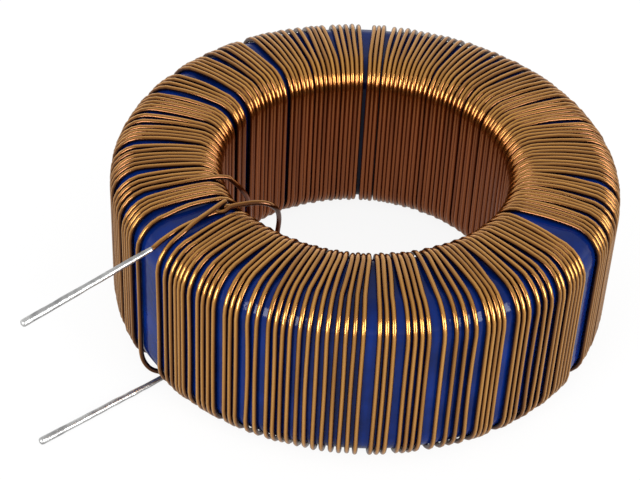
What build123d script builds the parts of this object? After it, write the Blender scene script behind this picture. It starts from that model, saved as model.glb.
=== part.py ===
from build123d import *
import math
import os

# A toroidal inductor, in millimetres: a coated ring core wound with one layer of enamelled
# wire, whose two tinned ends leave side by side, one above the other.
# The ring lies flat. Z is its axis, z = 0 is the plane that it rests on, and angles are
# measured in degrees round the axis from +X.

# Ring core, over its coat
core_outer_diameter = 40.2
core_inner_diameter = 24.0
core_height = 14.4
core_outer_corner = 2.4
core_inner_corner = 2.0

# Wire, over its enamel: the gaps are those between neighbours, and between wire and core
wire_diameter = 0.40
wire_side_gap = 0.03
wire_to_core = 0.02

# Tinned ends: thinner at the root than at the tip, where the wire stops a little short
tinned_diameter = 0.62
tin_root_diameter = 0.56
tin_root_length = 2.6
tin_taper_length = 0.8
tip_rounding = 0.25
tin_past_wire = 0.30

# How far each end runs, which way, and where it starts on the ring
upper_end_length = 11.7
upper_end_drop = 1.2
lower_end_length = 11.6
end_bearing = 223.9
upper_start_angle = 220.1
upper_start_drop = 0.85
lower_start_angle = 219.3
lower_start_inset = 0.80
end_to_ground = 0.02

# Turns, in winding order: the angles of the first and last outer leg of each group, and how
# many turns it has. The angles run on past 360 degrees.
turn_groups = [
    (218.2, 218.2, 1),
    (224.9, 226.8, 2),
    (228.4, 230.6, 3),
    (232.5, 232.5, 1),
    (234.9, 239.2, 4),
    (242.0, 244.8, 3),
    (247.4, 249.5, 2),
    (252.1, 256.8, 4),
    (258.8, 264.5, 4),
    (266.5, 271.9, 4),
    (275.2, 278.2, 3),
    (281.1, 285.5, 4),
    (288.8, 288.8, 1),
    (291.4, 295.8, 3),
    (298.6, 302.4, 4),
    (305.9, 308.9, 3),
    (311.4, 315.4, 3),
    (317.9, 319.3, 2),
    (321.4, 326.8, 5),
    (334.2, 338.6, 4),
    (341.2, 343.4, 3),
    (345.3, 345.3, 1),
    (348.0, 352.5, 4),
    (355.8, 369.0, 9),
    (371.2, 371.2, 1),
    (373.1, 378.5, 4),
    (381.3, 389.9, 6),
    (392.4, 395.2, 3),
    (397.3, 404.3, 5),
    (406.7, 406.7, 1),
    (408.8, 412.5, 3),
    (414.7, 417.0, 2),
    (419.2, 424.4, 4),
    (426.9, 445.0, 11),
    (447.8, 450.4, 3),
    (454.6, 461.5, 5),
    (464.4, 468.6, 4),
    (471.0, 473.3, 2),
    (475.5, 484.3, 6),
    (488.5, 492.9, 4),
    (495.3, 497.2, 2),
    (500.3, 506.5, 5),
    (511.2, 517.2, 4),
    (521.2, 527.9, 5),
    (530.9, 533.4, 2),
    (536.2, 541.1, 4),
    (544.6, 546.8, 2),
    (548.5, 553.5, 4),
    (556.9, 556.9, 1),
    (558.9, 562.6, 3),
    (565.7, 570.1, 4),
    (574.0, 574.0, 1),
]
first_turn_shift = 4.1

# Centre line of the turns
inner_leg_radius = core_inner_diameter / 2 - wire_to_core - wire_diameter / 2
outer_leg_radius = core_outer_diameter / 2 + wire_to_core + wire_diameter / 2
bottom_height = wire_diameter / 2
core_bottom = wire_diameter + wire_to_core
top_height = core_bottom + core_height + wire_to_core + wire_diameter / 2
turn_width = wire_diameter - wire_side_gap


def corner_cut(core_corner):
    """How far from the square corner a turn's 45-degree corner starts, to clear the core."""
    bend_radius = core_corner + wire_to_core + wire_diameter / 2
    return bend_radius * (2 - math.sqrt(2))


outer_cut = corner_cut(core_outer_corner)
inner_cut = corner_cut(core_inner_corner)


def spread_ahead(angles, closest):
    """Each angle moved on, where it has to be, until it is clear of the one before it."""
    spread = [angles[0]]
    for angle in angles[1:]:
        spread.append(max(angle, spread[-1] + closest))
    return spread


def spread_both_ways(angles, closest):
    """Each crowded group of angles spread evenly to both sides."""
    ahead = spread_ahead(angles, closest)
    behind = spread_ahead([-angle for angle in reversed(angles)], closest)
    return [(on - back) / 2 for on, back in zip(ahead, reversed(behind))]


# Angles of the outer and inner legs: in the bore the turns lie side by side
wanted_angles = [
    first + (last - first) * place / max(turns - 1, 1)
    for first, last, turns in turn_groups
    for place in range(turns)
]
closest_inner = math.degrees(wire_diameter / inner_leg_radius)
closest_outer = math.degrees(wire_diameter / outer_leg_radius)
fullest_bore = 0.965
turn_count = min(len(wanted_angles), int(360 * fullest_bore / closest_inner))
wanted_angles = [
    wanted_angles[turn * len(wanted_angles) // turn_count] for turn in range(turn_count)
]
outer_angles = spread_both_ways(wanted_angles, closest_outer)
inner_angles = spread_both_ways(wanted_angles, closest_inner)
outer_angles[0] += first_turn_shift


def outer_foot(turn):
    """One turn's way round the outer bottom edge of the ring."""
    angle = outer_angles[turn]
    return [
        (angle, outer_leg_radius - outer_cut, bottom_height),
        (angle, outer_leg_radius, bottom_height + outer_cut),
    ]


def outer_shoulder(turn):
    """One turn's way round the outer top edge of the ring."""
    angle = outer_angles[turn]
    return [
        (angle, outer_leg_radius, top_height - outer_cut),
        (angle, outer_leg_radius - outer_cut, top_height),
    ]


def inner_corners(turn):
    """One turn's way down through the bore, from the top to the bottom."""
    angle = inner_angles[turn]
    return [
        (angle, inner_leg_radius + inner_cut, top_height),
        (angle, inner_leg_radius, top_height - inner_cut),
        (angle, inner_leg_radius, bottom_height + inner_cut),
        (angle, inner_leg_radius + inner_cut, bottom_height),
    ]


def on_ring(angle, across, up):
    """A place given by its shares of the way from inner to outer leg, and from bottom to top."""
    return (
        angle,
        inner_leg_radius + across * (outer_leg_radius - inner_leg_radius),
        bottom_height + up * (top_height - bottom_height),
    )


# The upper end runs in over the top, springs off the rim in a loose loop, hangs down through
# the bore and comes back under the ring beside the last turn.
upper_run = [
    (220.2, 0.91, 0.970),
    (220.35, 0.80, 0.994),
    (220.0, 0.69, 1.0),
    (219.6, 0.54, 1.0),
    (219.5, 0.40, 1.0),
    (219.8, 0.31, 1.0),
    (220.9, 0.25, 1.005),
    (221.6, 0.19, 1.027),
    (223.7, 0.10, 1.040),
    (225.8, 0.015, 1.044),
    (227.9, -0.07, 1.034),
    (229.3, -0.14, 1.005),
    (229.0, -0.21, 0.95),
    (226.5, -0.28, 0.85),
    (224.3, -0.30, 0.73),
    (222.5, -0.31, 0.46),
    (219.5, -0.22, 0.19),
    (216.8, -0.09, 0.06),
    (216.1, 0.12, 0.0),
]

# The lower end leaves the last turn's inner leg under the ring
lower_run = [(218.95, 0.78, 0.0)]

# The first turn rides over the upper end: its angle, its share of the way across, and how far
# it is lifted, where 1 just clears the wire under it
first_turn_bridge = [
    (222.2, 0.71, 0.30),
    (221.6, 0.62, 0.65),
    (221.1, 0.53, 0.95),
    (220.5, 0.44, 1.0),
    (219.9, 0.36, 1.05),
    (219.15, 0.27, 1.09),
    (218.4, 0.19, 1.0),
]
full_lift = wire_diameter + wire_side_gap

# The last turn's foot comes from under the ring at a slant and bows off its bottom edge
last_turn_foot = [
    (577.6, 0.78, 0.0),
    (577.0, 0.86, 0.0),
    (575.6, 0.94, 0.02),
    (574.4, 0.985, 0.07),
    (574.0, 1.0, 0.15),
]

# One turn near the end of the winding stands off the rim and hangs loose in the bore
loose_turn = -6
loose_leg = [
    (562.2, 0.17, 1.0),
    (561.4, -0.02, 0.975),
    (561.5, -0.09, 0.935),
    (561.4, -0.16, 0.88),
    (559.7, -0.22, 0.81),
    (557.5, -0.26, 0.72),
    (559.0, -0.23, 0.40),
    (562.0, -0.08, 0.09),
    (562.6, 0.12, 0.0),
]


def to_point(angle, radius, height):
    """The point at an angle round the axis, a distance from it and a height."""
    turned = math.radians(angle)
    return Vector(radius * math.cos(turned), radius * math.sin(turned), height)


def around(angle):
    """The level direction round the axis at an angle."""
    turned = math.radians(angle)
    return Vector(-math.sin(turned), math.cos(turned), 0)


# Tinned ends: their start points, and their directions outwards
outward = to_point(end_bearing, 1, 0)
upper_start = to_point(upper_start_angle, outer_leg_radius, top_height - upper_start_drop)
upper_direction = (outward * upper_end_length - Vector(0, 0, upper_end_drop)).normalized()
end_height = tinned_diameter / 2 + end_to_ground
lower_start = to_point(lower_start_angle, outer_leg_radius - lower_start_inset, end_height)
upper_tip = upper_start + upper_direction * upper_end_length
lower_tip = lower_start + outward * lower_end_length

# The wire's whole route, from the upper tip to the lower tip, as points with their angles
route = [
    (end_bearing, upper_tip - upper_direction * tin_past_wire),
    (end_bearing, upper_start),
]
route += [(place[0], to_point(*on_ring(*place))) for place in upper_run]
for turn in range(turn_count):
    if turn == turn_count - 1:
        corners = [on_ring(*place) for place in last_turn_foot]
    else:
        corners = outer_foot(turn)
    corners += outer_shoulder(turn)
    if turn == 0:
        for angle, across, lift in first_turn_bridge:
            angle, radius, height = on_ring(angle, across, 1)
            corners.append((angle, radius, height + lift * full_lift))
    if turn == turn_count + loose_turn:
        corners += [on_ring(*place) for place in loose_leg]
    else:
        corners += inner_corners(turn)
    route += [(corner[0], to_point(*corner)) for corner in corners]
route += [(place[0], to_point(*on_ring(*place))) for place in lower_run]
route += [
    (end_bearing, lower_start),
    (end_bearing, lower_tip - outward * tin_past_wire),
]


def section_corners(before, here, after, angle):
    """Corners of the wire's section in the plane that halves the bend at a point."""
    side = around(angle)
    arriving = (here - before - side * (here - before).dot(side)).normalized()
    leaving = (after - here - side * (after - here).dot(side)).normalized()
    along = (arriving + leaving).normalized()
    across = side * (turn_width / 2)
    up = along.cross(side) * (wire_diameter / 2 / along.dot(leaving))
    return [here - across - up, here + across - up, here + across + up, here - across + up]


flat_within = 1e-7


def wire_side(near_start, near_end, far_end, far_start):
    """One side of the wire between two bends: one flat face, or two where it twists a little."""
    normal = (near_end - near_start).cross(far_end - near_start).normalized()
    if abs(normal.dot(far_start - near_start)) < flat_within:
        return [Face(Wire.make_polygon([near_start, near_end, far_end, far_start]))]
    return [
        Face(Wire.make_polygon([near_start, near_end, far_end])),
        Face(Wire.make_polygon([near_start, far_end, far_start])),
    ]


# Ring core
with BuildPart() as core:
    with BuildSketch(Plane.XZ):
        with Locations((0, core_bottom + core_height / 2)):
            Rectangle(core_outer_diameter, core_height)
            Rectangle(core_inner_diameter, core_height, mode=Mode.SUBTRACT)
        split(bisect_by=Plane.YZ)
        fillet(vertices().group_by(Axis.X)[-1], core_outer_corner)
        fillet(vertices().group_by(Axis.X)[0], core_inner_corner)
    revolve(axis=Axis.Z)

# Winding: one wire, drawn with a square section whose flats face its neighbours
points = [point for angle, point in route]
befores = [points[0] * 2 - points[1]] + points[:-1]
afters = points[1:] + [points[-1] * 2 - points[-2]]
sections = [
    section_corners(before, here, after, angle)
    for (angle, here), before, after in zip(route, befores, afters)
]
wire_faces = [Face(Wire.make_polygon(section)) for section in (sections[0], sections[-1])]
for near, far in zip(sections, sections[1:]):
    for corner in range(len(near)):
        following = (corner + 1) % len(near)
        wire_faces += wire_side(near[corner], near[following], far[following], far[corner])
with BuildPart() as winding:
    add(Solid(Shell(wire_faces)), clean=False)


standing = (Align.CENTER, Align.CENTER, Align.MIN)


def tinned_end(start, direction, length):
    """A tinned end, drawn on its own axis: a round pin with the wire's bare end inside it."""
    own_axis = Plane(origin=start, x_dir=around(end_bearing), z_dir=direction)
    pin_start = tin_root_length + tin_taper_length
    with BuildPart(own_axis) as end:
        Cylinder(tin_root_diameter / 2, tin_root_length, align=standing)
        with Locations((0, 0, tin_root_length)):
            Cone(tin_root_diameter / 2, tinned_diameter / 2, tin_taper_length, align=standing)
        with Locations((0, 0, pin_start)):
            Cylinder(tinned_diameter / 2, length - pin_start, align=standing)
        fillet(end.edges().sort_by(Axis(start, direction))[-1], tip_rounding)
        with BuildSketch(own_axis):
            Rectangle(turn_width, wire_diameter)
        extrude(amount=length - tin_past_wire, mode=Mode.SUBTRACT)
    return end.part


upper_end = tinned_end(upper_start, upper_direction, upper_end_length)
lower_end = tinned_end(lower_start, outward, lower_end_length)

os.makedirs("parts", exist_ok=True)
core.part.label = "core"
export_step(core.part, "parts/core.step")
winding.part.label = "winding"
export_step(winding.part, "parts/winding.step")
upper_end.label = "upper_tinned_end"
export_step(upper_end, "parts/upper_tinned_end.step")
lower_end.label = "lower_tinned_end"
export_step(lower_end, "parts/lower_tinned_end.step")
print(turn_count, "turns, volume of wire", round(winding.part.volume, 1))
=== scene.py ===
import bpy
import math
import random
from mathutils import Matrix, Vector, noise


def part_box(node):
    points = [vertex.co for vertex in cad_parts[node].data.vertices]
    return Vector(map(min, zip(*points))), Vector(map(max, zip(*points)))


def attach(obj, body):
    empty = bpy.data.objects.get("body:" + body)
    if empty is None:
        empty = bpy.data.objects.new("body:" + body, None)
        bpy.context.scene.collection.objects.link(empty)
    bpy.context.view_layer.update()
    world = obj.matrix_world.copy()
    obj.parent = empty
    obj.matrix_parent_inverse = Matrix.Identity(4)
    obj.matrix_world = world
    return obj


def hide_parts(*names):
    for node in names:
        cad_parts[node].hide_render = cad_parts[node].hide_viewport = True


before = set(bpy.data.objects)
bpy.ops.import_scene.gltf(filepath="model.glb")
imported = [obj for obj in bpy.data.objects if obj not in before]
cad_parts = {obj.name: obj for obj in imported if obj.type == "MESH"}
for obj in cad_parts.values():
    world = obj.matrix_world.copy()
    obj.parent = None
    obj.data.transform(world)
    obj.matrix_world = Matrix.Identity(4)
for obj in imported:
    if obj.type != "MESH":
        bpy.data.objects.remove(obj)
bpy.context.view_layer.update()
mm = 0.001
random.seed(7)

# Sizes of the ring, in millimetres, from the frame. Angles are in degrees round the axis from +X.
core_low, core_high = [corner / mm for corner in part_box("core")]
core_outer_radius = core_high.x
core_inner_radius = 12.0
core_outer_corner = 2.4
core_inner_corner = 2.0
wire_radius = 0.20
wire_to_core = 0.02
wire_clearance = wire_to_core + wire_radius

outer_leg_radius = core_outer_radius + wire_clearance
inner_leg_radius = core_inner_radius - wire_clearance
bottom_height = core_low.z - wire_clearance
top_height = core_high.z + wire_clearance

# Turns, in winding order: the angles of the first and last outer leg of each group, and how
# many turns it has
turn_groups = [
    (218.2, 218.2, 1),
    (224.9, 226.8, 2),
    (228.4, 230.6, 3),
    (232.5, 232.5, 1),
    (234.9, 239.2, 4),
    (242.0, 244.8, 3),
    (247.4, 249.5, 2),
    (252.1, 256.8, 4),
    (258.8, 264.5, 4),
    (266.5, 271.9, 4),
    (275.2, 278.2, 3),
    (281.1, 285.5, 4),
    (288.8, 288.8, 1),
    (291.4, 295.8, 3),
    (298.6, 302.4, 4),
    (305.9, 308.9, 3),
    (311.4, 315.4, 3),
    (317.9, 319.3, 2),
    (321.4, 326.8, 5),
    (334.2, 338.6, 4),
    (341.2, 343.4, 3),
    (345.3, 345.3, 1),
    (348.0, 352.5, 4),
    (355.8, 369.0, 9),
    (371.2, 371.2, 1),
    (373.1, 378.5, 4),
    (381.3, 389.9, 6),
    (392.4, 395.2, 3),
    (397.3, 404.3, 5),
    (406.7, 406.7, 1),
    (408.8, 412.5, 3),
    (414.7, 417.0, 2),
    (419.2, 424.4, 4),
    (426.9, 445.0, 11),
    (447.8, 450.4, 3),
    (454.6, 461.5, 5),
    (464.4, 468.6, 4),
    (471.0, 473.3, 2),
    (475.5, 484.3, 6),
    (488.5, 492.9, 4),
    (495.3, 497.2, 2),
    (500.3, 506.5, 5),
    (511.2, 517.2, 4),
    (521.2, 527.9, 5),
    (530.9, 533.4, 2),
    (536.2, 541.1, 4),
    (544.6, 546.8, 2),
    (548.5, 553.5, 4),
    (556.9, 556.9, 1),
    (558.9, 562.6, 3),
    (565.7, 570.1, 4),
    (574.0, 574.0, 1),
]
first_turn_shift = 4.1

# Free runs of the wire, as angle, share of the way from inner to outer leg, and share of the height
upper_run = [
    (220.2, 0.91, 0.970),
    (220.35, 0.80, 0.994),
    (220.0, 0.69, 1.0),
    (219.6, 0.54, 1.0),
    (219.5, 0.40, 1.0),
    (219.8, 0.31, 1.0),
    (220.9, 0.25, 1.005),
    (221.6, 0.19, 1.027),
    (223.7, 0.10, 1.040),
    (225.8, 0.015, 1.044),
    (227.9, -0.07, 1.034),
    (229.3, -0.14, 1.005),
    (229.0, -0.21, 0.95),
    (226.5, -0.28, 0.85),
    (224.3, -0.30, 0.73),
    (222.5, -0.31, 0.46),
    (219.5, -0.22, 0.19),
    (216.8, -0.09, 0.06),
    (216.1, 0.12, 0.0),
]
lower_run = [(218.95, 0.78, 0.0)]

# The first turn rides over the upper end: its angle, its share of the way across, and how far it
# is lifted, where 1 is the height of the bridge. It leaves its bend after the first few points.
first_turn_bridge = [
    (222.2, 0.71, 0.30),
    (221.6, 0.62, 0.65),
    (221.1, 0.53, 0.95),
    (220.5, 0.44, 1.0),
    (219.9, 0.36, 1.05),
    (219.15, 0.27, 1.09),
    (218.4, 0.19, 1.0),
]
bridge_lift = 0.43
first_bend_steps = 5

# More free runs: the last turn's bowed foot, and the inner leg of one turn that hangs loose
last_turn_foot = [
    (577.6, 0.78, 0.0),
    (577.0, 0.86, 0.0),
    (575.6, 0.94, 0.02),
    (574.4, 0.985, 0.07),
    (574.0, 1.0, 0.15),
]
loose_turn = -6
loose_leg = [
    (562.2, 0.17, 1.0),
    (561.4, -0.02, 0.975),
    (561.5, -0.09, 0.935),
    (561.4, -0.16, 0.88),
    (559.7, -0.22, 0.81),
    (557.5, -0.26, 0.72),
    (559.0, -0.23, 0.40),
    (562.0, -0.08, 0.09),
    (562.6, 0.12, 0.0),
]

# Tinned ends
end_bearing = 223.9
upper_end_length = 11.7
upper_end_drop = 1.2
upper_start_angle = 220.1
upper_start_drop = 0.85
lower_end_length = 11.6
lower_start_angle = 219.3
lower_start_inset = 0.80
lower_start_height = 0.33
tin_root_radius = 0.215
tin_tip_radius = 0.30

# How finely the wire is drawn
wire_sides = 12
bend_steps = 6
leg_steps = 4
free_steps = 5

# How uneven the turns are: the loosest bend's share, the share of its room that a leg leans,
# and how high the flats on top arch
loosest_bend = 0.07
lean_share = 0.30
least_arch, most_arch = 0.05, 0.17

# In the bore: how close the turns lie for their diameter, how far every other one stands off,
# the least angle between groups, and over what width and depth painted shade darkens the wire
bore_squeeze = 0.925
bore_stagger = 0.12
least_group_gap = 0.30
wire_shade_edge = 0.8
wire_shade_fade = 2.6


def spread_ahead(angles, closest):
    """Each angle moved on, where it has to be, until it is clear of the one before it."""
    spread = [angles[0]]
    for angle in angles[1:]:
        spread.append(max(angle, spread[-1] + closest))
    return spread


def spread_both_ways(angles, closest):
    """Each crowded group of angles spread evenly to both sides."""
    ahead = spread_ahead(angles, closest)
    behind = spread_ahead([-angle for angle in reversed(angles)], closest)
    return [(on - back) / 2 for on, back in zip(ahead, reversed(behind))]


def grouped(groups, pitch, gap):
    """Angles of turns that lie tight in their groups, each group as near its place as it can be."""
    widths = [turns * pitch + gap for first, last, turns in groups]
    starts = [(first + last - width) / 2 for (first, last, turns), width in zip(groups, widths)]
    ahead = [starts[0]]
    for start, width in zip(starts[1:], widths):
        ahead.append(max(start, ahead[-1] + width))
    behind = [starts[-1]]
    for start, width in zip(reversed(starts[:-1]), reversed(widths[:-1])):
        behind.append(min(start, behind[-1] - width))
    return [
        (one + other) / 2 + gap / 2 + (place + 0.5) * pitch
        for one, other, (first, last, turns) in zip(ahead, reversed(behind), groups)
        for place in range(turns)
    ]


def to_point(angle, radius, height):
    """The point at an angle round the axis, a distance from it and a height, in millimetres."""
    turned = math.radians(angle)
    return Vector((radius * math.cos(turned), radius * math.sin(turned), height))


def on_ring(angle, across, up):
    """The point at an angle and at its shares of the way across and up the wound ring."""
    return to_point(
        angle,
        inner_leg_radius + across * (outer_leg_radius - inner_leg_radius),
        bottom_height + up * (top_height - bottom_height),
    )


wanted_angles = [
    first + (last - first) * place / max(turns - 1, 1)
    for first, last, turns in turn_groups
    for place in range(turns)
]
turn_count = len(wanted_angles)
closest_inner = math.degrees(2 * wire_radius / inner_leg_radius)
closest_outer = math.degrees(2 * wire_radius / outer_leg_radius)
outer_angles = spread_both_ways(wanted_angles, closest_outer)
inner_angles = grouped(turn_groups, closest_inner * bore_squeeze, least_group_gap)
outer_angles[0] += first_turn_shift


def room_beside(turn):
    """How many degrees a turn's outer leg can lean before it meets a neighbour."""
    here = outer_angles[turn]
    gaps = [abs(outer_angles[other] - here) for other in (turn - 1, turn + 1) if 0 <= other < turn_count]
    return max(min(gaps) - closest_outer, 0)


def bend(angle, corner_radius, corner_height, bend_radius, outward, upward):
    """Points round one edge of the ring, in the order outer wall to flat."""
    centre_radius = corner_radius - outward * bend_radius
    centre_height = corner_height - upward * bend_radius
    points = []
    for step in range(bend_steps + 1):
        turned = math.pi / 2 * step / bend_steps
        points.append(to_point(
            angle,
            centre_radius + outward * bend_radius * math.cos(turned),
            centre_height + upward * bend_radius * math.sin(turned),
        ))
    return points


def leg(start, end, sideways):
    """Points between two bends, bowed sideways a little."""
    points = []
    for step in range(1, leg_steps):
        share = step / leg_steps
        points.append(start.lerp(end, share) + sideways * math.sin(math.pi * share))
    return points


def around(angle):
    """The level direction round the axis at an angle."""
    turned = math.radians(angle)
    return Vector((-math.sin(turned), math.cos(turned), 0))


def full_bend(core_corner):
    """A bend's radius, from one that hugs the core to one that is pulled a little tighter."""
    return (core_corner + wire_clearance) * (1 - random.uniform(0, loosest_bend))


# The wire's whole route, from the upper tip to the lower tip: its points, and whether each
# is on a free run, where the wire curves smoothly from point to point
outward = to_point(end_bearing, 1, 0)
upper_start = to_point(upper_start_angle, outer_leg_radius, top_height - upper_start_drop)
upper_direction = (outward * upper_end_length - Vector((0, 0, upper_end_drop))).normalized()
lower_start = to_point(lower_start_angle, outer_leg_radius - lower_start_inset, lower_start_height)

route = [(upper_start + upper_direction, True), (upper_start, True)]
route += [(on_ring(*place), True) for place in upper_run]
for turn in range(turn_count):
    outer = outer_angles[turn]
    inner = inner_angles[turn]
    lean = around(outer) * math.radians(room_beside(turn)) * outer_leg_radius
    shoulder = bend(outer, outer_leg_radius, top_height, full_bend(core_outer_corner), 1, 1)
    if turn == turn_count - 1:
        foot = [on_ring(*place) for place in last_turn_foot]
        foot_free = True
    else:
        foot = bend(outer, outer_leg_radius, bottom_height, full_bend(core_outer_corner), 1, -1)[::-1]
        foot_free = False
    if turn > 0 and route[-1][1] is False and not foot_free:
        route += [(point, False) for point in leg(route[-1][0], foot[0], Vector())]
    route += [(point, foot_free) for point in foot]
    sway = lean * random.uniform(-lean_share, lean_share)
    route += [(point, False) for point in leg(foot[-1], shoulder[0], sway)]
    if turn == 0:
        shoulder = shoulder[:first_bend_steps]
    route += [(point, False) for point in shoulder]
    if turn == 0:
        for angle, across, lift in first_turn_bridge:
            route.append((on_ring(angle, across, 1) + Vector((0, 0, lift * bridge_lift)), True))
    if turn == turn_count + loose_turn:
        route += [(on_ring(*place), True) for place in loose_leg]
        continue
    leg_radius = inner_leg_radius - bore_stagger * (turn % 2)
    rim = bend(inner, leg_radius, top_height, full_bend(core_inner_corner), -1, 1)[::-1]
    inner_foot = bend(inner, leg_radius, bottom_height, full_bend(core_inner_corner), -1, -1)
    if turn > 0:
        sway = lean * random.uniform(-lean_share, lean_share) / 2
        arch = Vector((0, 0, random.uniform(least_arch, most_arch)))
        route += [(point, False) for point in leg(shoulder[-1], rim[0], sway + arch)]
    route += [(point, False) for point in rim]
    route += [(point, False) for point in leg(rim[-1], inner_foot[0], Vector())]
    route += [(point, False) for point in inner_foot]
route += [(on_ring(*place), True) for place in lower_run]
route += [(lower_start, True), (lower_start + outward, True)]


def smooth_route(route):
    """The route's points, with each span that touches a free run drawn as a smooth curve."""
    points = [point for point, free in route]
    smooth = [points[0]]
    for place in range(len(points) - 1):
        start, end = points[place], points[place + 1]
        if route[place][1] or route[place + 1][1]:
            before = points[max(place - 1, 0)]
            after = points[min(place + 2, len(points) - 1)]
            length = (end - start).length
            leave = (end - before) / ((end - start).length + (start - before).length) * length
            arrive = (after - start) / ((end - start).length + (after - end).length) * length
            for step in range(1, free_steps):
                t = step / free_steps
                point = (
                    start * (2 * t**3 - 3 * t**2 + 1) + leave * (t**3 - 2 * t**2 + t)
                    + end * (3 * t**2 - 2 * t**3) + arrive * (t**3 - t**2)
                )
                point.z = max(point.z, bottom_height)
                smooth.append(point)
        smooth.append(end)
    return smooth


def off_core(point):
    """The direction from the nearest place on the core to a point."""
    level = Vector((point.x, point.y, 0))
    radius = level.length
    inner = core_inner_radius + core_inner_corner
    outer = core_outer_radius - core_outer_corner
    low, high = core_low.z + core_outer_corner, core_high.z - core_outer_corner
    nearest = level / radius * min(max(radius, inner), outer)
    nearest.z = min(max(point.z, low), high)
    return (point - nearest).normalized()


def bore_depth(point):
    """How far a point is into the bore, from 0 at its rim to 1; it sets how much of the wire's painted
    bore shade shows.
    """
    beside = (inner_leg_radius + wire_shade_edge - math.hypot(point.x, point.y)) / wire_shade_edge
    below = (top_height - point.z) / wire_shade_fade
    return min(max(beside, 0), 1) * min(max(below, 0), 1)


def sweep(name, points, radii, sides):
    """A round tube along points, in millimetres, closed by a cap at each end."""
    tangents = []
    for place in range(len(points)):
        before = points[max(place - 1, 0)]
        after = points[min(place + 1, len(points) - 1)]
        tangents.append((after - before).normalized())
    vertices, faces, travelled, crowns, depths = [], [], [], [], []
    length = 0
    for place, (point, tangent, radius) in enumerate(zip(points, tangents, radii)):
        outside = off_core(point)
        side = (outside - tangent * outside.dot(tangent)).normalized()
        other = tangent.cross(side)
        length += (point - points[max(place - 1, 0)]).length
        for step in range(sides):
            turned = 2 * math.pi * step / sides
            reach = side * math.cos(turned) + other * math.sin(turned)
            vertices.append((point + reach * radius) * mm)
            travelled.append(length * mm)
            # How far each point of the section faces away from the core; it sets the wire's painted
            # highlight and shade
            crowns.append(reach.dot(outside))
            depths.append(bore_depth(point))
    for ring in range(len(points) - 1):
        for step in range(sides):
            following = (step + 1) % sides
            low, high = ring * sides, (ring + 1) * sides
            faces.append((low + step, low + following, high + following, high + step))
    faces.append(tuple(reversed(range(sides))))
    faces.append(tuple(range((len(points) - 1) * sides, len(points) * sides)))
    mesh = bpy.data.meshes.new(name)
    mesh.from_pydata(vertices, [], faces)
    mesh.polygons.foreach_set("use_smooth", [True] * len(mesh.polygons))
    for attribute, values in (("along", travelled), ("crown", crowns), ("bore", depths)):
        mesh.attributes.new(attribute, "FLOAT", "POINT").data.foreach_set("value", values)
    piece = bpy.data.objects.new(name, mesh)
    bpy.context.scene.collection.objects.link(piece)
    return piece


# Materials
def new_material(name):
    """A node material, with its tree and its Principled shader."""
    material = bpy.data.materials.new(name)
    material.use_nodes = True
    return material, material.node_tree, material.node_tree.nodes["Principled BSDF"]


def set_sockets(shader, **values):
    """Numbers and colours set on the shader's own sockets."""
    for name, value in values.items():
        shader.inputs[name.replace("_", " ")].default_value = value


def noise_texture(tree, scale, detail):
    """A noise texture that repeats scale times a metre."""
    coordinates = tree.nodes.new("ShaderNodeTexCoord")
    texture = tree.nodes.new("ShaderNodeTexNoise")
    texture.inputs["Scale"].default_value = scale
    texture.inputs["Detail"].default_value = detail
    tree.links.new(coordinates.outputs["Object"], texture.inputs["Vector"])
    return texture


def ramp(tree, source, stops):
    """A colour ramp from place and colour pairs."""
    node = tree.nodes.new("ShaderNodeValToRGB")
    while len(node.color_ramp.elements) < len(stops):
        node.color_ramp.elements.new(0.5)
    for element, (place, colour) in zip(node.color_ramp.elements, stops):
        element.position = place
        element.color = (*colour, 1)
    tree.links.new(source, node.inputs["Fac"])
    return node


def bump(tree, shader, height, strength, distance):
    """Bump from a height, for the shader's normal."""
    node = tree.nodes.new("ShaderNodeBump")
    node.inputs["Strength"].default_value = strength
    node.inputs["Distance"].default_value = distance
    tree.links.new(height, node.inputs["Height"])
    tree.links.new(node.outputs["Normal"], shader.inputs["Normal"])


def attribute_node(tree, name):
    """The value that the mesh carries under a name."""
    node = tree.nodes.new("ShaderNodeAttribute")
    node.attribute_name = name
    return node.outputs["Fac"]


def blend_colours(tree, share, first, second, kind="MIX"):
    """Two colours blended."""
    node = tree.nodes.new("ShaderNodeMix")
    node.data_type = "RGBA"
    node.blend_type = kind
    if isinstance(share, float):
        node.inputs["Factor"].default_value = share
    else:
        tree.links.new(share, node.inputs["Factor"])
    colour_a, colour_b = [socket for socket in node.inputs if socket.type == "RGBA"]
    tree.links.new(first, colour_a)
    tree.links.new(second, colour_b)
    return [socket for socket in node.outputs if socket.type == "RGBA"][0]


def map_range(tree, value, from_values, to_values):
    """A value mapped from one range to another, and held inside it."""
    node = tree.nodes.new("ShaderNodeMapRange")
    node.inputs["From Min"].default_value, node.inputs["From Max"].default_value = from_values
    node.inputs["To Min"].default_value, node.inputs["To Max"].default_value = to_values
    tree.links.new(value, node.inputs["Value"])
    return node.outputs["Result"]


def choose(tree, switch, otherwise, chosen):
    """One of two values, by a switch that is 0 or 1."""
    node = tree.nodes.new("ShaderNodeMix")
    node.data_type = "FLOAT"
    tree.links.new(switch, node.inputs["Factor"])
    ends = [socket for socket in node.inputs if socket.type == "VALUE"][1:]
    for value, socket in zip((otherwise, chosen), ends):
        if isinstance(value, float):
            socket.default_value = value
        else:
            tree.links.new(value, socket)
    return [socket for socket in node.outputs if socket.type == "VALUE"][0]


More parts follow.
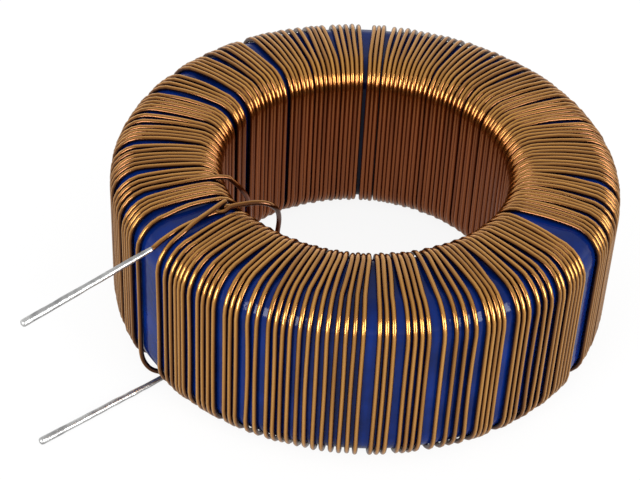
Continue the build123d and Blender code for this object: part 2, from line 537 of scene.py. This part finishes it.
def enamelled_wire():
    """Copper seen through amber enamel, with a painted highlight on its crown and painted shade down its
    sides, where turns meet.
    """
    material, tree, shader = new_material("enamelled_wire")
    set_sockets(shader, Metallic=0.94, Roughness=0.21, Coat_Weight=0.50, Coat_Roughness=0.15)
    texture = tree.nodes.new("ShaderNodeTexNoise")
    texture.noise_dimensions = "1D"
    texture.inputs["Scale"].default_value = 45
    texture.inputs["Detail"].default_value = 3
    tree.links.new(attribute_node(tree, "along"), texture.inputs["W"])
    shades = ramp(tree, texture.outputs["Fac"], [
        (0.30, (0.66, 0.60, 0.52)),
        (0.50, (0.88, 0.86, 0.83)),
        (0.72, (1.0, 1.0, 1.0)),
    ])
    crown = attribute_node(tree, "crown")
    # Painted highlight on the crown of the wire and painted shade down its sides, between the turns
    outside = ramp(tree, crown, [
        (0.0, (0.08, 0.022, 0.003)),
        (0.60, (0.19, 0.064, 0.009)),
        (0.86, (0.53, 0.228, 0.038)),
        (1.0, (0.92, 0.470, 0.120)),
    ])
    # In the bore the wire takes a darker painted shade, with a flatter crown
    wire_bore_shade_ramp = ramp(tree, crown, [
        (0.0, (0.20, 0.050, 0.012)),
        (0.95, (0.42, 0.115, 0.025)),
    ])
    # The bore's painted shade takes over by how far the wire is into the bore
    painted_light_and_shade = blend_colours(
        tree, attribute_node(tree, "bore"), outside.outputs["Color"], wire_bore_shade_ramp.outputs["Color"]
    )
    colour = blend_colours(tree, 1.0, painted_light_and_shade, shades.outputs["Color"], "MULTIPLY")
    tree.links.new(colour, shader.inputs["Base Color"])
    grain = noise_texture(tree, scale=5000, detail=3)
    bump(tree, shader, grain.outputs["Fac"], strength=0.05, distance=0.02 * mm)
    return material


def distance_off_axis(tree):
    """How far a point on an object is from the ring's axis."""
    place = tree.nodes.new("ShaderNodeTexCoord")
    level = tree.nodes.new("ShaderNodeVectorMath")
    level.operation = "MULTIPLY"
    level.inputs[1].default_value = (1, 1, 0)
    tree.links.new(place.outputs["Object"], level.inputs[0])
    length = tree.nodes.new("ShaderNodeVectorMath")
    length.operation = "LENGTH"
    tree.links.new(level.outputs["Vector"], length.inputs[0])
    return length.outputs["Value"]


def core_coat():
    """Glossy blue coat with a faint orange peel and cloudier patches, and painted shade that darkens it
    in the bore.
    """
    coat_painted_shade = 0.25
    coat_painted_shade_width = 1.6
    material, tree, shader = new_material("core_coat")
    set_sockets(shader, Roughness=0.10, Specular_IOR_Level=0.22)
    clouds = noise_texture(tree, scale=260, detail=4)
    shades = ramp(tree, clouds.outputs["Fac"], [
        (0.30, (0.001, 0.008, 0.063)),
        (0.70, (0.002, 0.018, 0.145)),
    ])
    # Painted shade: the coat darkens towards the bore wall
    bore_wall = core_inner_radius * mm
    shade_end = bore_wall + coat_painted_shade_width * mm
    shade = map_range(tree, distance_off_axis(tree), (bore_wall, shade_end), (coat_painted_shade, 1.0))
    colour = blend_colours(tree, 1.0, shades.outputs["Color"], shade, "MULTIPLY")
    tree.links.new(colour, shader.inputs["Base Color"])
    peel = noise_texture(tree, scale=1300, detail=2)
    bump(tree, shader, peel.outputs["Fac"], strength=0.25, distance=0.08 * mm)
    return material


def tin():
    """Dull bright solder, with grey patches and fine pits."""
    material, tree, shader = new_material("tin")
    set_sockets(shader, Metallic=1.0)
    patches = noise_texture(tree, scale=900, detail=4)
    shades = ramp(tree, patches.outputs["Fac"], [
        (0.32, (0.42, 0.42, 0.42)),
        (0.62, (0.80, 0.80, 0.79)),
    ])
    tree.links.new(shades.outputs["Color"], shader.inputs["Base Color"])
    gloss = ramp(tree, patches.outputs["Fac"], [
        (0.3, (0.42, 0.42, 0.42)),
        (0.7, (0.26, 0.26, 0.26)),
    ])
    tree.links.new(gloss.outputs["Color"], shader.inputs["Roughness"])
    pits = noise_texture(tree, scale=4200, detail=4)
    bump(tree, shader, pits.outputs["Fac"], strength=0.5, distance=0.06 * mm)
    return material


def dress(piece, material, node_name):
    """A piece in its finish, standing for its CAD node."""
    piece.data.materials.clear()
    piece.data.materials.append(material)
    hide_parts(node_name)
    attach(piece, "root")


# Wire
wire_points = smooth_route(route)
wire = sweep("wire", wire_points, [wire_radius] * len(wire_points), wire_sides)
dress(wire, enamelled_wire(), "winding")

# Tinned ends: solder that thickens towards the tip and has set in soft lumps
tin_sides = 20
tin_step = 0.1
lump_size = 1.1
lump_height = 0.035
tip_rounding = 0.26
thickening = 0.7
least_tip_share = 0.001


def solder_radius(travelled, length):
    """The solder's radius at a distance from its root, rounded off at the tip."""
    share = min(travelled / length, 1)
    radius = tin_root_radius + (tin_tip_radius - tin_root_radius) * share**thickening
    left = length - travelled
    if left < tip_rounding:
        radius *= math.sqrt(max(1 - (1 - left / tip_rounding) ** 2, least_tip_share))
    return radius


def solder(name, start, direction, length):
    """One tinned end, as a tube whose skin is pushed in and out by smooth noise."""
    steps = int(length / tin_step)
    stations = [length * step / steps for step in range(steps + 1)]
    points = [start + direction * station for station in stations]
    radii = [solder_radius(station, length) for station in stations]
    piece = sweep(name, points, radii, tin_sides)
    axis_start = start * mm
    for vertex in piece.data.vertices:
        station = (vertex.co - axis_start).dot(direction)
        reach = vertex.co - axis_start - direction * station
        if reach.length > tin_root_radius * mm / 2:
            lump = noise.noise(vertex.co / (lump_size * mm))
            vertex.co += reach.normalized() * lump * lump_height * mm
    return piece


tin_material = tin()
for name, start, direction, length in (
    ("upper_solder", upper_start, upper_direction, upper_end_length),
    ("lower_solder", lower_start, outward, lower_end_length),
):
    end = solder(name, start, direction, length)
    dress(end, tin_material, name.replace("solder", "tinned_end"))

# Core
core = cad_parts["core"]
core.data.materials.clear()
core.data.materials.append(core_coat())

# Floor
floor_reach = 4.0
floor_height = -0.02 * mm
floor_mesh = bpy.data.meshes.new("floor")
floor_corners = [
    (x * floor_reach, y * floor_reach, floor_height) for x, y in ((-1, -1), (1, -1), (1, 1), (-1, 1))
]
floor_mesh.from_pydata(floor_corners, [], [(0, 1, 2, 3)])
floor = bpy.data.objects.new("floor", floor_mesh)
bpy.context.scene.collection.objects.link(floor)
floor_material, floor_tree, floor_shader = new_material("floor")
set_sockets(floor_shader, Base_Color=(0.93, 0.93, 0.93, 1), Roughness=0.9, Specular_IOR_Level=0.1)
floor_mesh.materials.append(floor_material)

# To the camera the floor is nearly plain white, and in reflections an even pale grey
whiteness_seen = 0.90
evenness_mirrored = 0.80
glow_mirrored = 0.42
floor_path = floor_tree.nodes.new("ShaderNodeLightPath")
floor_glow = floor_tree.nodes.new("ShaderNodeEmission")
floor_mix = floor_tree.nodes.new("ShaderNodeMixShader")
glow = choose(floor_tree, floor_path.outputs["Is Camera Ray"], glow_mirrored, 1.0)
floor_tree.links.new(glow, floor_glow.inputs["Strength"])
mirrored_share = choose(floor_tree, floor_path.outputs["Is Glossy Ray"], 0.0, evenness_mirrored)
floor_share = choose(floor_tree, floor_path.outputs["Is Camera Ray"], mirrored_share, whiteness_seen)
floor_tree.links.new(floor_share, floor_mix.inputs["Fac"])
floor_tree.links.new(floor_shader.outputs["BSDF"], floor_mix.inputs[1])
floor_tree.links.new(floor_glow.outputs["Emission"], floor_mix.inputs[2])
floor_end = floor_tree.nodes["Material Output"]
floor_tree.links.new(floor_mix.outputs["Shader"], floor_end.inputs["Surface"])

# World: soft light that grows from the walls to overhead, white to the camera, and in
# reflections white low down, where the backdrop stands, and dimmer above it. The heights are
# those of a direction of length 1.
wall_strength, overhead_strength = 0.25, 1.15
overhead_from, overhead_to = 0.0, 0.6
backdrop_top, ceiling_start = 0.15, 0.35
backdrop_strength, ceiling_strength = 1.0, 0.55
world = bpy.data.worlds.new("studio")
bpy.context.scene.world = world
world.use_nodes = True
world_tree = world.node_tree
background = world_tree.nodes["Background"]
background.inputs["Color"].default_value = (1, 1, 1, 1)
light_path = world_tree.nodes.new("ShaderNodeLightPath")
sky_direction = world_tree.nodes.new("ShaderNodeTexCoord")
sky_parts = world_tree.nodes.new("ShaderNodeSeparateXYZ")
world_tree.links.new(sky_direction.outputs["Generated"], sky_parts.inputs["Vector"])
sky_height = sky_parts.outputs["Z"]
mirrored = map_range(
    world_tree, sky_height, (backdrop_top, ceiling_start), (backdrop_strength, ceiling_strength)
)
soft = map_range(
    world_tree, sky_height, (overhead_from, overhead_to), (wall_strength, overhead_strength)
)
lit = choose(world_tree, light_path.outputs["Is Glossy Ray"], soft, mirrored)
seen = choose(world_tree, light_path.outputs["Is Camera Ray"], lit, 1.0)
world_tree.links.new(seen, background.inputs["Strength"])


# Two tall softboxes, one to each side of the camera and aimed at the ring
softbox_bearings = {"left_softbox": 236, "right_softbox": 324}
softbox_elevation = math.radians(17)
softbox_distance = 0.6
softbox_width, softbox_height = 0.24, 0.32
softbox_power = 2.3
for name, bearing in softbox_bearings.items():
    light = bpy.data.lights.new(name, "AREA")
    light.shape = "RECTANGLE"
    light.size = softbox_width
    light.size_y = softbox_height
    light.energy = softbox_power
    lamp = bpy.data.objects.new(name, light)
    bpy.context.scene.collection.objects.link(lamp)
    away = to_point(bearing, math.cos(softbox_elevation), math.sin(softbox_elevation))
    lamp.location = away * softbox_distance
    lamp.rotation_euler = away.to_track_quat("Z", "Y").to_euler()

# Camera: its distance in millimetres, its elevation, how far its aim is off the middle of the
# ring's foot, and its roll
camera_distance = 154.4
camera_elevation = math.radians(40.6)
aim_right = -0.0225
aim_up = 0.0282
camera_roll = 0.0517
lens_length = 102.0

position = Vector((0, -math.cos(camera_elevation), math.sin(camera_elevation))) * camera_distance
to_ring = -position.normalized()
level_right = Vector((1, 0, 0))
aim = (to_ring + level_right * aim_right + level_right.cross(to_ring) * aim_up).normalized()
right = aim.cross(Vector((0, 0, 1))).normalized()
up = right.cross(aim)
rolled_right = right * math.cos(camera_roll) + up * math.sin(camera_roll)
rolled_up = up * math.cos(camera_roll) - right * math.sin(camera_roll)
lens = bpy.data.cameras.new("camera")
lens.lens = lens_length
lens.sensor_width = 36.0
lens.clip_start = 0.01
lens.clip_end = 20.0
camera = bpy.data.objects.new("camera", lens)
bpy.context.scene.collection.objects.link(camera)
columns = Matrix((rolled_right, rolled_up, -aim)).transposed().to_4x4()
camera.matrix_world = Matrix.Translation(position * mm) @ columns
bpy.context.scene.camera = camera
bpy.context.scene.view_settings.view_transform = "Standard"
